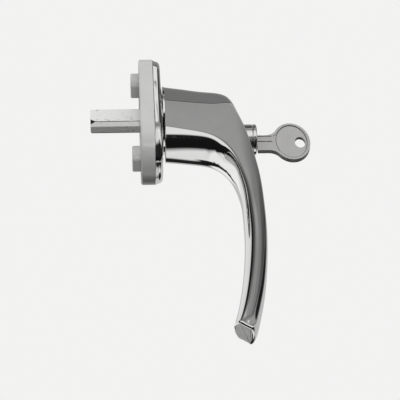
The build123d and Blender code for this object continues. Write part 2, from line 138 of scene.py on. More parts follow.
def polished(name, colour, dull, rough_low, rough_high, ripple):
    """Plated metal: fine hairlines, faint clouding and a slight orange peel."""
    mat, tree, shader = new_material(name)
    shader.inputs["Metallic"].default_value = 1.0
    place = place_of(tree)
    cloud = noise(tree, place, 160.0, 4.0)
    hairs = noise(tree, stretched(tree, place, (900.0, 900.0, 60.0)), 1.0, 3.0, 0.7)
    colours = blend_colour(tree, remap(tree, cloud, 0.35, 0.7, 0.0, 1.0), colour, dull)
    tree.links.new(colours, shader.inputs["Base Color"])
    rough = remap(tree, hairs, 0.35, 0.75, rough_low, rough_high)
    tree.links.new(rough, shader.inputs["Roughness"])
    bump(tree, shader, noise(tree, place, 240.0, 1.0), ripple)
    return mat


def plastic():
    """Matt grey moulding with a fine spark-eroded grain."""
    mat, tree, shader = new_material("base_plastic")
    place = place_of(tree)
    cloud = noise(tree, place, 90.0, 3.0)
    colours = blend_colour(tree, remap(tree, cloud, 0.3, 0.7, 0.0, 1.0), (0.61, 0.61, 0.6), (0.56, 0.56, 0.555))
    tree.links.new(colours, shader.inputs["Base Color"])
    shader.inputs["Specular IOR Level"].default_value = 0.5
    grain = noise(tree, place, 5200.0, 2.0, 0.6)
    tree.links.new(remap(tree, grain, 0.3, 0.7, 0.13, 0.19), shader.inputs["Roughness"])
    bump(tree, shader, grain, 0.00001)
    return mat


def drawn_steel(name, metallic, colour, speck, rough_low, rough_high):
    """Drawn bar: lines along its length, light scratches, small nicks and darker specks."""
    mat, tree, shader = new_material(name)
    shader.inputs["Metallic"].default_value = metallic
    place = place_of(tree)
    lines = noise(tree, stretched(tree, place, (2600.0, 60.0, 2600.0)), 1.0, 3.0, 0.7)
    specks = noise(tree, stretched(tree, place, (1300.0, 520.0, 1300.0)), 1.0, 2.0, 0.6)
    colours = blend_colour(tree, remap(tree, specks, 0.62, 0.74, 0.0, 1.0), colour, speck)
    tree.links.new(colours, shader.inputs["Base Color"])
    tree.links.new(remap(tree, lines, 0.3, 0.75, rough_low, rough_high), shader.inputs["Roughness"])
    bump(tree, shader, lines, 0.000008)
    return mat


def plain_metal(name, colour, dull, low, high):
    """Turned or stamped inner piece: fine tool marks and a mottled surface."""
    mat, tree, shader = new_material(name)
    shader.inputs["Metallic"].default_value = 1.0
    place = place_of(tree)
    marks = noise(tree, stretched(tree, place, (400.0, 3000.0, 400.0)), 1.0, 2.0)
    mottle = noise(tree, place, 900.0, 3.0)
    colours = blend_colour(tree, remap(tree, mottle, 0.35, 0.7, 0.0, 1.0), colour, dull)
    tree.links.new(colours, shader.inputs["Base Color"])
    tree.links.new(remap(tree, marks, 0.3, 0.7, low, high), shader.inputs["Roughness"])
    bump(tree, shader, marks, 0.000008)
    return mat


chrome = polished("lever_chrome", (0.80, 0.80, 0.79), (0.77, 0.77, 0.765), 0.035, 0.07, 0.000002)
cover_chrome = polished("cover_chrome", (0.86, 0.86, 0.85), (0.84, 0.84, 0.835), 0.012, 0.025, 0.000001)
lock_nickel = polished("lock_nickel", (0.80, 0.795, 0.78), (0.75, 0.745, 0.73), 0.12, 0.2, 0.000002)
key_nickel = polished("key_nickel", (0.80, 0.795, 0.785), (0.74, 0.735, 0.725), 0.16, 0.28, 0.000003)


# Oval panel of the key: middle (out, up), half size, and where it starts, in millimetres
PANEL_MIDDLE = (59.1, -13.7)
PANEL_HALF = (6.1, 9.1)
PANEL_START = 52.0
PANEL_METALLIC = 0.72
PANEL_SHADE_COLOUR = (0.2, 0.2, 0.195, 1)
# Limits of the dark line of painted shade: beside the oval as a share of its size, beside the straight line in
# metres
OVAL_SHADE_LIMITS = (0.012, 0.03)
STRAIGHT_SHADE_LIMITS = (0.00006, 0.00014)
STRAIGHT_SHADE_STRENGTH = 0.6


def paint_panel_shade(mat):
    """Painted shade in the corner of the key's sunk panel: a dark line along an oval, cut off by a straight line.
    """
    tree = mat.node_tree
    shader = tree.nodes["Principled BSDF"]
    shader.inputs["Metallic"].default_value = PANEL_METALLIC
    parts = tree.nodes.new("ShaderNodeSeparateXYZ")
    tree.links.new(place_of(tree), parts.inputs["Vector"])
    from_middle = math_node(tree, "SUBTRACT", parts.outputs["Y"], -PANEL_MIDDLE[0] * MM)
    out = times(tree, from_middle, 1 / (PANEL_HALF[0] * MM))
    above_middle = math_node(tree, "SUBTRACT", parts.outputs["Z"], PANEL_MIDDLE[1] * MM)
    rise = times(tree, above_middle, 1 / (PANEL_HALF[1] * MM))
    reach = math_node(tree, "SQRT", math_node(tree, "ADD", times(tree, out, out), times(tree, rise, rise)))
    past_start = math_node(tree, "ADD", parts.outputs["Y"], PANEL_START * MM)
    inside = remap(tree, past_start, -0.00002, 0.00002, 1.0, 0.0)
    off_oval = math_node(tree, "ABSOLUTE", math_node(tree, "SUBTRACT", reach, 1.0))
    oval = remap(tree, off_oval, *OVAL_SHADE_LIMITS, 1.0, 0.0)
    straight = remap(tree, math_node(tree, "ABSOLUTE", past_start), *STRAIGHT_SHADE_LIMITS, STRAIGHT_SHADE_STRENGTH, 0.0)
    straight = times(tree, straight, remap(tree, reach, 0.98, 1.0, 1.0, 0.0))
    dark = math_node(tree, "MAXIMUM", times(tree, oval, inside), straight)
    old = shader.inputs["Base Color"].links[0].from_socket
    node = tree.nodes.new("ShaderNodeMix")
    node.data_type = "RGBA"
    node.inputs["B"].default_value = PANEL_SHADE_COLOUR
    tree.links.new(dark, node.inputs["Factor"])
    tree.links.new(old, node.inputs["A"])
    tree.links.new(node.outputs["Result"], shader.inputs["Base Color"])


# Painted shade: a dark line along the corner of the key's sunk panel
paint_panel_shade(key_nickel)
# Near-black metal for the key's edge faces: painted shade
key_edge_shade = polished("key_edge_shade", (0.13, 0.128, 0.125), (0.1, 0.099, 0.097), 0.3, 0.45, 0.00001)
base_plastic = plastic()
# Lit and shaded copies of the spindle's steel: a bright, mostly matt lit copy for its sides, and a darker metallic
# copy as painted shade
lit_steel_bar = drawn_steel("drawn_steel", 0.25, (0.95, 0.95, 0.94), (0.3, 0.3, 0.29), 0.12, 0.24)
shaded_steel_bar = drawn_steel("drawn_steel_shaded", 0.97, (0.62, 0.62, 0.61), (0.2, 0.2, 0.19), 0.1, 0.18)
steel = plain_metal("zinc_steel", (0.6, 0.6, 0.6), (0.5, 0.5, 0.51), 0.25, 0.42)
brass = plain_metal("turned_brass", (0.76, 0.6, 0.3), (0.66, 0.5, 0.24), 0.2, 0.34)

MATERIAL_OF_SLOT = {
    "base": base_plastic, "cover": cover_chrome, "lever": chrome, "lock": lock_nickel,
    "spindle": lit_steel_bar, "steel": steel, "brass": brass, "key": key_nickel,
}
slot_of = {part["node"]: part["material_slot"] for part in frame["record"]["subparts"]}
for name, node in nodes.items():
    node.data.materials.clear()
    node.data.materials.append(MATERIAL_OF_SLOT[slot_of[name]])


# Mesh helpers

def make_object(name, verts, faces, material, body):
    """Smooth-shaded mesh object that rides with a body."""
    mesh = bpy.data.meshes.new(name)
    mesh.from_pydata([tuple(v) for v in verts], [], faces)
    mesh.polygons.foreach_set("use_smooth", [True] * len(mesh.polygons))
    mesh.materials.append(material)
    mesh.update()
    obj = bpy.data.objects.new(name, mesh)
    scene.collection.objects.link(obj)
    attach(obj, body)
    return obj


def band(first, second, count):
    """Quads between two rings of vertices, given by their numbers."""
    faces = []
    for j in range(count):
        k = (j + 1) % count
        faces.append((first * count + j, first * count + k, second * count + k, second * count + j))
    return faces


def tube_faces(stations, count):
    """Quads between the stations' rings of vertices, and a cap at each end."""
    faces = [face for i in range(stations - 1) for face in band(i, i + 1, count)]
    faces.append(tuple(range(count))[::-1])
    faces.append(tuple((stations - 1) * count + j for j in range(count)))
    return faces


def outward(obj):
    """Face normals turned outward, and faces with more than four corners shaded flat."""
    mesh = bmesh.new()
    mesh.from_mesh(obj.data)
    bmesh.ops.recalc_face_normals(mesh, faces=mesh.faces[:])
    for face in mesh.faces:
        if len(face.verts) > 4:
            face.smooth = False
    mesh.to_mesh(obj.data)
    mesh.free()


def apply_modifiers(obj):
    """The object's mesh replaced by what its modifiers make of it."""
    final = bpy.data.meshes.new_from_object(obj.evaluated_get(bpy.context.evaluated_depsgraph_get()))
    obj.modifiers.clear()
    obj.data = final


def run_along(points):
    """Length of a polyline up to each of its points."""
    return np.r_[0, np.cumsum(np.linalg.norm(np.diff(points, axis=0), axis=1))]


def cubic(knots, values, at):
    """Natural cubic spline through the rows of values at the knots."""
    knots = np.asarray(knots, float)
    values = np.asarray(values, float)
    count = len(knots)
    gap = np.diff(knots)
    system = np.eye(count)
    right = np.zeros_like(values)
    for row in range(1, count - 1):
        system[row, row - 1] = gap[row - 1]
        system[row, row] = 2 * (gap[row - 1] + gap[row])
        system[row, row + 1] = gap[row]
        slope_after = (values[row + 1] - values[row]) / gap[row]
        slope_before = (values[row] - values[row - 1]) / gap[row - 1]
        right[row] = 6 * (slope_after - slope_before)
    bend = np.linalg.solve(system, right)
    span = np.clip(np.searchsorted(knots, at, side="right") - 1, 0, count - 2)
    width = gap[span][:, None]
    before = (at - knots[span])[:, None]
    after = width - before
    return ((bend[span] * after ** 3 + bend[span + 1] * before ** 3) / (6 * width)
            + (values[span] / width - bend[span] * width / 6) * after
            + (values[span + 1] / width - bend[span + 1] * width / 6) * before)


# Lever: rows of cross-sections as in the casting, in millimetres
# (outer crest out, up, inner crest out, up, half width, outer crown, inner crown, flute)
LEVER_ROWS = np.array((
    (9.6, 17.1, 9.6, -19.3, 9.0, 14.7, 6.6, 0.10),
    (13.2, 16.3, 13.2, -19.5, 8.95, 14.4, 5.9, 0.10),
    (17.0, 15.5, 17.0, -19.8, 8.9, 14.1, 5.2, 0.10),
    (25.5, 13.7, 24.5, -20.9, 8.7, 13.2, 4.3, 0.10),
    (32.6, 12.3, 28.6, -22.7, 8.4, 11.7, 3.7, 0.10),
    (36.2, 8.4, 31.6, -25.8, 8.2, 7.4, 3.5, 0.10),
    (38.2, 1.0, 33.8, -29.6, 8.1, 4.2, 3.7, 0.12),
    (40.6, -9.0, 35.2, -33.6, 8.0, 2.6, 3.8, 0.15),
    (42.8, -21.5, 36.3, -39.4, 7.7, 1.7, 3.9, 0.20),
    (44.6, -35.0, 37.0, -46.0, 7.4, 1.2, 3.8, 0.25),
    (45.3, -50.0, 37.1, -55.0, 6.9, 0.9, 3.6, 0.40),
    (45.1, -65.0, 36.8, -66.0, 6.5, 0.8, 3.6, 0.62),
    (43.9, -79.5, 35.7, -78.5, 6.0, 0.8, 3.6, 0.78),
    (41.9, -93.0, 33.9, -90.5, 5.5, 0.8, 3.5, 0.86),
    (39.4, -104.0, 31.6, -101.2, 5.1, 0.9, 3.1, 0.78),
    (38.3, -108.0, 30.7, -104.4, 4.85, 1.0, 2.7, 0.42),
    (37.2, -110.4, 30.0, -106.4, 4.7, 1.1, 2.4, 0.02),
    (35.6, -111.9, 29.0, -108.6, 4.55, 1.1, 2.3, 0.0),
))
ALONG_STEPS = 460
CORNER_ROUND = 0.2
OUTLINE_STEPS = 900
BELLY_FLAT = 0.5
CROWN_TILT = 16
# Crown and belly: degrees of arc in each half, and points along them and along the side
CROWN_TURN = 74
BELLY_TURN = 80
CROWN_STEPS = 90
SIDE_STEPS = 120
FLUTE_POWER = 0.9
# The crown is arched from this height over its half width, and fully so this much above it
ARCH_FROM = 0.7
ARCH_OVER = 0.4
# The belly is flattened in step with the crown height above the first, over the second, in millimetres
SHALLOW_CROWN = 1.2
CROWN_RANGE = 12.5
# Radius of the inner corners against how far down the inner crest is, in millimetres
INNER_ROUND = ((20, 26, 42, 60, 110), (0.2, 0.8, 0.8, 0.5, 0.3))
INNER_REACH = 4.6
SHARP_REACH = 12
SOFT_REACH = 40


def quarter(half_width, height, turn, steps):
    """Half of an elliptical crown, from its crest to its side, in millimetres."""
    angle = np.radians(turn) * np.linspace(0, 1, steps)
    across = half_width / math.sin(math.radians(turn))
    rise = height / (1 - math.cos(math.radians(turn)))
    return np.c_[across * np.sin(angle), rise * (1 - np.cos(angle))]


def arched(half_width, height, steps):
    """Half of a crown with a round top and straight, leaning sides, in millimetres."""
    tilt = math.radians(CROWN_TILT)
    slope = math.tan(tilt)
    radius = (half_width - height * slope) / (math.cos(tilt) - slope * (1 - math.sin(tilt)))
    turn = np.linspace(0, math.pi / 2 - tilt, steps)
    top = np.c_[radius * np.sin(turn), radius * (1 - np.cos(turn))]
    points = np.r_[top, [(half_width, height)]]
    length = run_along(points)
    at = np.linspace(0, length[-1], steps)
    return np.c_[np.interp(at, length, points[:, 0]), np.interp(at, length, points[:, 1])]


def rounded(points, radius, reach):
    """Polyline resampled evenly and smoothed over some samples, so that its corners get a small radius."""
    length = run_along(points)
    even = np.linspace(0, length[-1], OUTLINE_STEPS)
    dense = np.c_[np.interp(even, length, points[:, 0]), np.interp(even, length, points[:, 1])]
    sigma = radius / (even[1] - even[0])
    kernel = np.exp(-0.5 * (np.arange(-reach, reach + 1) / sigma) ** 2)
    kernel /= kernel.sum()
    padded = np.r_[dense[reach:0:-1] * (-1, 1), dense, dense[-2:-reach - 2:-1] * (-1, 1)]
    smooth = np.c_[np.convolve(padded[:, 0], kernel, "valid"), np.convolve(padded[:, 1], kernel, "valid")]
    smooth[0, 0] = 0
    smooth[-1, 0] = 0
    return smooth


def half_section(row):
    """Half of a cross-section from the outer crest to the inner one, its depth, its corners and its length."""
    depth = math.hypot(row[0] - row[2], row[1] - row[3])
    half_width, outer_crown, inner_crown, flute = row[4:]
    share = np.clip((outer_crown - SHALLOW_CROWN) / CROWN_RANGE, 0, 1)
    crown = quarter(half_width, outer_crown, CROWN_TURN, CROWN_STEPS)
    arch = np.clip((outer_crown / half_width - ARCH_FROM) / ARCH_OVER, 0, 1)
    if arch > 0:
        crown = (1 - arch) * crown + arch * arched(half_width, outer_crown, CROWN_STEPS)
    belly = quarter(half_width, inner_crown, BELLY_TURN, CROWN_STEPS)
    belly[:, 1] -= BELLY_FLAT * share * np.sin(np.pi * np.linspace(0, 1, CROWN_STEPS)) ** 2
    belly = np.c_[belly[:, 0], depth - belly[:, 1]][::-1]
    start = crown[-1, 1]
    end = belly[0, 1]
    t = np.linspace(0, 1, SIDE_STEPS)
    side = np.c_[half_width - flute * np.sin(np.pi * t) ** FLUTE_POWER, start + (end - start) * t]
    points = np.r_[crown, side[:-1], belly]
    length = run_along(points)
    ends = (0, length[len(crown) - 1], length[len(crown) + len(side) - 1], length[-1])
    corners = np.array(ends) / length[-1]
    sharp = rounded(points, CORNER_ROUND, SHARP_REACH)
    soft = rounded(points, np.interp(-row[3], *INNER_ROUND), SOFT_REACH)
    from_corner = np.abs(np.linspace(0, 1, OUTLINE_STEPS) - corners[2]) * length[-1]
    share = np.clip((INNER_REACH - from_corner) / INNER_REACH * 2, 0, 1)[:, None]
    share = share * share * (3 - 2 * share)
    return sharp * (1 - share) + soft * share, depth, corners, length[-1]


# Where the cross-section is sampled near each corner, in millimetres
NEAR_CORNER = np.array((0.02, 0.07, 0.14, 0.24, 0.4, 0.7, 1.0, 1.4))
BETWEEN_CORNERS = 20


def sample_half(row):
    """Samples of the half section, with the same ones beside each corner in every row."""
    outline, depth, corners, total = half_section(row)
    at = [0.0]
    for number in range(3):
        start, end = corners[number], corners[number + 1]
        near = NEAR_CORNER / total
        low = near if number else np.array((0.0,))
        high = near if number < 2 else np.array((0.0,))
        inner = np.linspace(start + low[-1], end - high[-1], BETWEEN_CORNERS + 2)[1:-1]
        at.extend(start + low[low > 0])
        at.extend(inner)
        at.extend(end - high[high > 0][::-1])
    at.append(1.0)
    along = np.linspace(0, 1, len(outline))
    return np.c_[np.interp(at, along, outline[:, 0]), np.interp(at, along, outline[:, 1])], depth


def lever_mesh():
    """Skin of the lever from its start on the bearing ring to beyond the end cut."""
    rows = LEVER_ROWS
    middle = (rows[:, 0:2] + rows[:, 2:4]) / 2
    outer_run = np.linalg.norm(np.diff(rows[:, 0:2], axis=0), axis=1)
    inner_run = np.linalg.norm(np.diff(rows[:, 2:4], axis=0), axis=1)
    knots = np.r_[0, np.cumsum((outer_run + inner_run) / 2)]
    at = np.linspace(0, knots[-1], ALONG_STEPS)
    fine = cubic(knots, rows, at)
    verts = []
    for row in fine:
        half, depth = sample_half(row)
        outer = np.array((row[0], row[1]))
        inner = np.array((row[2], row[3]))
        run = (inner - outer) / depth
        ring = np.r_[half, half[-2:0:-1] * (-1, 1)]
        place = outer + ring[:, 1:2] * run
        verts.append(np.c_[ring[:, 0], -place[:, 0], place[:, 1]])
    return np.array(verts).reshape(-1, 3) * MM, tube_faces(ALONG_STEPS, len(ring))


verts, faces = lever_mesh()
lever = make_object("lever_body", verts, faces, chrome, "handle")
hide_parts("lever")

# End cut of the lever: a small round along its edge, and a duller ground face
lever.data.materials.append(polished("tip_chrome", (0.66, 0.66, 0.655), (0.62, 0.62, 0.615), 0.4, 0.45, 0.000002))
TIP_INNER = (32.3, -107.9)
TIP_OUTER = (36.5, -110.9)
TIP_ROUND = 0.9
TIP_STEPS = 9
cut_mesh = bmesh.new()
cut_mesh.from_mesh(lever.data)
cut_run = Vector((0, TIP_INNER[0] - TIP_OUTER[0], TIP_OUTER[1] - TIP_INNER[1])).normalized()
cut_normal = Vector((0, -cut_run.z, cut_run.y))
if cut_normal.z > 0:
    cut_normal.negate()
geometry = cut_mesh.verts[:] + cut_mesh.edges[:] + cut_mesh.faces[:]
cut_place = Vector((0, -TIP_INNER[0], TIP_INNER[1])) * MM - cut_normal * TIP_ROUND * MM
cut = bmesh.ops.bisect_plane(cut_mesh, geom=geometry, dist=1e-7, plane_co=cut_place, plane_no=cut_normal,
                             clear_outer=True)
rim = [item for item in cut["geom_cut"] if isinstance(item, bmesh.types.BMEdge)]
loop = [rim[0].verts[0], rim[0].verts[1]]
while len(loop) < len(rim):
    onward = [edge for edge in loop[-1].link_edges if edge in rim and edge.other_vert(loop[-1]) is not loop[-2]]
    loop.append(onward[0].other_vert(loop[-1]))
middle = sum((vert.co for vert in loop), Vector()) / len(loop)
inward = []
for number, vert in enumerate(loop):
    run = (loop[(number + 1) % len(loop)].co - loop[number - 1].co).normalized()
    aside = run.cross(cut_normal).normalized()
    if aside.dot(middle - vert.co) < 0:
        aside.negate()
    inward.append(aside)
before = loop
start = [vert.co.copy() for vert in loop]
for step in range(1, TIP_STEPS + 1):
    turned = math.pi / 2 * step / TIP_STEPS
    rise = cut_normal * TIP_ROUND * MM * math.sin(turned)
    after = [
        cut_mesh.verts.new(place + aside * TIP_ROUND * MM * (1 - math.cos(turned)) + rise)
        for place, aside in zip(start, inward)
    ]
    for number in range(len(loop)):
        other = (number + 1) % len(loop)
        face = cut_mesh.faces.new((before[number], before[other], after[other], after[number]))
        face.smooth = True
    before = after
cap = cut_mesh.faces.new(before)
cap.material_index = 1
bmesh.ops.recalc_face_normals(cut_mesh, faces=cut_mesh.faces[:])
cut_mesh.to_mesh(lever.data)
cut_mesh.free()


# Spindle: square bar with rounded edges and a turned cone at its end, its lower face in two facets
SPINDLE_SIDE = 7.0
SPINDLE_EDGE = 0.35
FACET_SPLIT = -0.6
FACET_RISE = 0.45
CONE_START = 4.1
CONE_SLOPE = 1.2
CONE_LONG = 2.2
NOTCH_START = 3.9
NOTCH_SLOPE = 0.5
BAR_SPACING = 0.35
ARC_POINTS = 7
BAR_STEPS = 30
CONE_STEPS = 26
# Faces that point this far up or down, or this far along the bar, get the painted shade
DARK_UP = 0.62
DARK_ALONG = 0.3


def rounded_polygon(corners, radius, spacing):
    """Closed outline through the corners, rounded by arcs, with points no further apart than the spacing."""
    points = []
    count = len(corners)
    for number in range(count):
        here = np.array(corners[number], float)
        back_way = np.array(corners[number - 1], float) - here
        on_way = np.array(corners[(number + 1) % count], float) - here
        back_way /= np.linalg.norm(back_way)
        on_way /= np.linalg.norm(on_way)
        half = math.acos(np.clip(back_way @ on_way, -1, 1)) / 2
        reach = radius / math.tan(half)
        bisector = (back_way + on_way) / np.linalg.norm(back_way + on_way)
        centre = here + bisector * radius / math.sin(half)
        first = here + back_way * reach - centre
        last = here + on_way * reach - centre
        sweep = math.atan2(first[0] * last[1] - first[1] * last[0], first @ last)
        for share in np.linspace(0, 1, ARC_POINTS):
            c, d = math.cos(sweep * share), math.sin(sweep * share)
            points.append(centre + (first[0] * c - first[1] * d, first[0] * d + first[1] * c))
    filled = []
    for number, point in enumerate(points):
        following = points[(number + 1) % len(points)]
        parts = max(1, int(np.ceil(np.linalg.norm(following - point) / spacing)))
        filled += [point + (following - point) * part / parts for part in range(parts)]
    return np.array(filled)


half_side = SPINDLE_SIDE / 2
bar = rounded_polygon((
    (-half_side, half_side), (-half_side, -half_side), (FACET_SPLIT, -half_side),
    (half_side, FACET_RISE - half_side), (half_side, half_side),
), SPINDLE_EDGE, BAR_SPACING)
spindle_low, spindle_high = [Vector(corner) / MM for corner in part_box("spindle")]
bar_run = np.r_[np.linspace(spindle_low.y, spindle_high.y - CONE_LONG, BAR_STEPS)[:-1],
                np.linspace(spindle_high.y - CONE_LONG, spindle_high.y, CONE_STEPS)]
verts = []
for y in bar_run:
    most = CONE_START + CONE_SLOPE * (spindle_high.y - y)
    keep = np.minimum(1, most / np.hypot(bar[:, 0], bar[:, 1]))[:, None]
    ring = bar * keep
    proud = -(ring[:, 0] + ring[:, 1]) / math.sqrt(2) - NOTCH_START - NOTCH_SLOPE * (spindle_high.y - y)
    ring = ring + (np.maximum(0, proud) / math.sqrt(2))[:, None]
    verts.append(np.c_[ring[:, 0], np.full(len(bar), y), ring[:, 1]])
spindle = make_object("spindle_bar", np.concatenate(verts) * MM, tube_faces(len(bar_run), len(bar)), lit_steel_bar,
                      "handle")
outward(spindle)
# The faces above and below, and the filed tip, get a darker, more metallic copy of the steel as painted shade
spindle.data.materials.append(shaded_steel_bar)
for face in spindle.data.polygons:
    if abs(face.normal.z) > DARK_UP or face.normal.y > DARK_ALONG:
        face.material_index = 1
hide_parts("spindle")


# Bore of the lock cylinder in the lever's skin, deep enough for the spring that is pushed in unsquashed
BORE_RADIUS = 6.2
BORE_DROP = -11.8
BORE_OUT = 60.0
BORE_END = 10.5
BORE_POINTS = 96
# How far a face of the bore's wall may point along the bore, and stand off its radius in millimetres
BORE_TILT = 0.05
BORE_OFF = 0.03
SHARP_ANGLE = math.radians(30)
round_way = np.arange(BORE_POINTS) * 2 * math.pi / BORE_POINTS
bore_ring = np.c_[BORE_RADIUS * np.cos(round_way), np.zeros(BORE_POINTS),
                  BORE_DROP + BORE_RADIUS * np.sin(round_way)]
bore_mesh = bpy.data.meshes.new("bore")
bore_ends = np.r_[bore_ring - (0, BORE_OUT, 0), bore_ring - (0, BORE_END, 0)]
bore_mesh.from_pydata((bore_ends * MM).tolist(), [], tube_faces(2, BORE_POINTS))
bore = bpy.data.objects.new("bore", bore_mesh)
scene.collection.objects.link(bore)
outward(bore)
boolean = lever.modifiers.new("bore", "BOOLEAN")
boolean.operation = "DIFFERENCE"
boolean.solver = "EXACT"
boolean.object = bore
apply_modifiers(lever)
bpy.data.objects.remove(bore)
mesh = bmesh.new()
mesh.from_mesh(lever.data)
for face in mesh.faces:
    centre = face.calc_center_median() / MM
    off_axis = math.hypot(centre.x, centre.z - BORE_DROP)
    if abs(face.normal.y) < BORE_TILT and abs(off_axis - BORE_RADIUS) < BORE_OFF and -centre.y > BORE_END:
        face.smooth = True
        for edge in face.edges:
            if any(abs(other.normal.y) > BORE_TILT for other in edge.link_faces):
                edge.smooth = False

# Journal of the same casting, which runs in the base: radius and distance out of each corner
JOURNAL = ((7.9, 10.4), (7.9, 1.7), (7.7, 1.5), (6.6, 1.5), (6.6, 0.5), (6.4, 0.3))
journal_rings = [
    np.c_[radius * np.cos(round_way), np.full(BORE_POINTS, -out), radius * np.sin(round_way)]
    for radius, out in JOURNAL
]
journal = bpy.data.meshes.new("journal")
journal.from_pydata((np.concatenate(journal_rings) * MM).tolist(), [],
                    tube_faces(len(JOURNAL), BORE_POINTS))
first_new = len(mesh.faces)
mesh.from_mesh(journal)
mesh.faces.ensure_lookup_table()
new_faces = mesh.faces[first_new:]
bmesh.ops.recalc_face_normals(mesh, faces=new_faces)
for face in new_faces:
    face.smooth = len(face.verts) == 4
    for edge in face.edges:
        if edge.is_manifold and edge.calc_face_angle() > SHARP_ANGLE:
            edge.smooth = False
mesh.to_mesh(lever.data)
mesh.free()


# CAD shapes with their sharp edges rounded; faces closer than the angle are joined first
JOIN_ANGLE = math.radians(0.5)
BEVEL_SEGMENTS = 3
# Faces of the key that point less than this to its sides get a rougher, near-black metal as painted shade
KEY_SIDE = 0.2


def soften(node, name, width, material, body):
    """Copy of a CAD node with small rounds on its edges."""
    mesh = bmesh.new()
    mesh.from_mesh(nodes[node].data)
    bmesh.ops.remove_doubles(mesh, verts=mesh.verts[:], dist=1e-6)
    bmesh.ops.dissolve_limit(mesh, angle_limit=JOIN_ANGLE, verts=mesh.verts[:], edges=mesh.edges[:])
    data = bpy.data.meshes.new(name)
    mesh.to_mesh(data)
    mesh.free()
    data.polygons.foreach_set("use_smooth", [True] * len(data.polygons))
    rough = bpy.data.objects.new(name, data)
    scene.collection.objects.link(rough)
    bevel = rough.modifiers.new("bevel", "BEVEL")
    bevel.width = width * MM
    bevel.segments = BEVEL_SEGMENTS
    bevel.limit_method = "ANGLE"
    bevel.angle_limit = SHARP_ANGLE
    bevel.miter_outer = "MITER_ARC"
    weighted = rough.modifiers.new("normals", "WEIGHTED_NORMAL")
    weighted.keep_sharp = True
    apply_modifiers(rough)
    rough.data.materials.clear()
    rough.data.materials.append(material)
    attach(rough, body)
    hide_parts(node)
    return rough


key = soften("key", "key_blank", 0.2, key_nickel, "key")
key.data.materials.append(key_edge_shade)
for face in key.data.polygons:
    if abs(face.normal.x) < KEY_SIDE:
        face.material_index = 1
soften("base_plate", "base_moulding", 0.3, base_plastic, "rosette")
soften("lock_barrel", "barrel", 0.15, lock_nickel, "lock")
soften("lock_front_ring", "front_ring", 0.15, lock_nickel, "lock")

# Cover cap: drafted wall, rounded edge and slightly domed front, hollow behind, as lofted rings
PLATE_HALF_WIDTH = 14.15
PLATE_HALF_HEIGHT = 30.0
SIDE_BOW = 0.7
SIDE_TAPER = 0.0009
SEAM_OUT = 5.5
SEAM_EDGE = 0.05
WALL_OUT = 6.75
WALL_DRAFT = 0.12
WALL_STEPS = 7
EDGE_RADIUS = 1.8
# Start and sweep of the rounded edge, in degrees
EDGE_START = 6
EDGE_SWEEP = 82
EDGE_STEPS = 14
DOME = 0.12
FACE_STEPS = 9
RING_SEAT = 13.0
HOLE_RADIUS = 8.2
HOLE_EDGE = 0.2
SKIRT = 1.3
BOSS_WALL = 1.4
ROOF_OUT = 7.3
ROOF_INSET = 1.2
COVER_POINTS = 260


def cover_rim():
    """Points of the rosette's outline and their outward directions (X, Z)."""
    side = PLATE_HALF_HEIGHT - PLATE_HALF_WIDTH
    length = 4 * side + 2 * math.pi * PLATE_HALF_WIDTH
    points, ways = [], []
    for at in np.arange(COVER_POINTS) / COVER_POINTS * length:
        if at < 2 * side:
            point, way = (PLATE_HALF_WIDTH, at - side), (1.0, 0.0)
        elif at < 2 * side + math.pi * PLATE_HALF_WIDTH:
            turned = (at - 2 * side) / PLATE_HALF_WIDTH
            way = (math.cos(turned), math.sin(turned))
            point = (way[0] * PLATE_HALF_WIDTH, side + way[1] * PLATE_HALF_WIDTH)
        elif at < 4 * side + math.pi * PLATE_HALF_WIDTH:
            point = (-PLATE_HALF_WIDTH, side - (at - 2 * side - math.pi * PLATE_HALF_WIDTH))
            way = (-1.0, 0.0)
        else:
            turned = math.pi + (at - 4 * side - math.pi * PLATE_HALF_WIDTH) / PLATE_HALF_WIDTH
            way = (math.cos(turned), math.sin(turned))
            point = (way[0] * PLATE_HALF_WIDTH, -side + way[1] * PLATE_HALF_WIDTH)
        points.append(point)
        ways.append(way)
    return np.array(points), np.array(ways)


rim_points, rim_ways = cover_rim()
rim_points[:, 0] *= 1 - SIDE_TAPER * rim_points[:, 1]
bowed = SIDE_BOW * np.clip(np.abs(rim_points[:, 1]) / PLATE_HALF_HEIGHT, 0, 1) ** 2
round_ways = rim_points / np.linalg.norm(rim_points, axis=1)[:, None]


def cover_ring(inset, out, lean=0.0):
    """Ring of the cap at an inset from its outline and a distance out from the wall, in millimetres."""
    flat = rim_points - rim_ways * (inset + lean * bowed)[:, None]
    return np.c_[flat[:, 0], np.full(len(flat), -out), flat[:, 1]]


def round_ring(radius, out):
    """Circle around the spindle with a point in the direction of each point of the outline."""
    return np.c_[round_ways[:, 0] * radius, np.full(len(rim_points), -out), round_ways[:, 1] * radius]


cap_rings = [cover_ring(0, SEAM_OUT)]
for share in np.linspace(0, 1, WALL_STEPS):
    wall_out = SEAM_OUT + SEAM_EDGE + (WALL_OUT - SEAM_OUT) * share
    cap_rings.append(cover_ring(SEAM_EDGE + WALL_DRAFT * share, wall_out, share))
wall_end = SEAM_EDGE + WALL_DRAFT
base_turn = math.radians(EDGE_START)
for step in range(1, EDGE_STEPS + 1):
    turned = math.radians(EDGE_START + EDGE_SWEEP * step / EDGE_STEPS)
    edge_out = WALL_OUT + SEAM_EDGE + EDGE_RADIUS * (math.sin(turned) - math.sin(base_turn))
    cap_rings.append(cover_ring(wall_end + EDGE_RADIUS * (math.cos(base_turn) - math.cos(turned)), edge_out, 1.0))
shoulder = cap_rings[-1]
front_out = -shoulder[0, 1] + DOME
seat = round_ring(RING_SEAT, front_out)
for share in np.linspace(0, 1, FACE_STEPS)[1:]:
    cap_rings.append(shoulder * (1 - share) + seat * share)
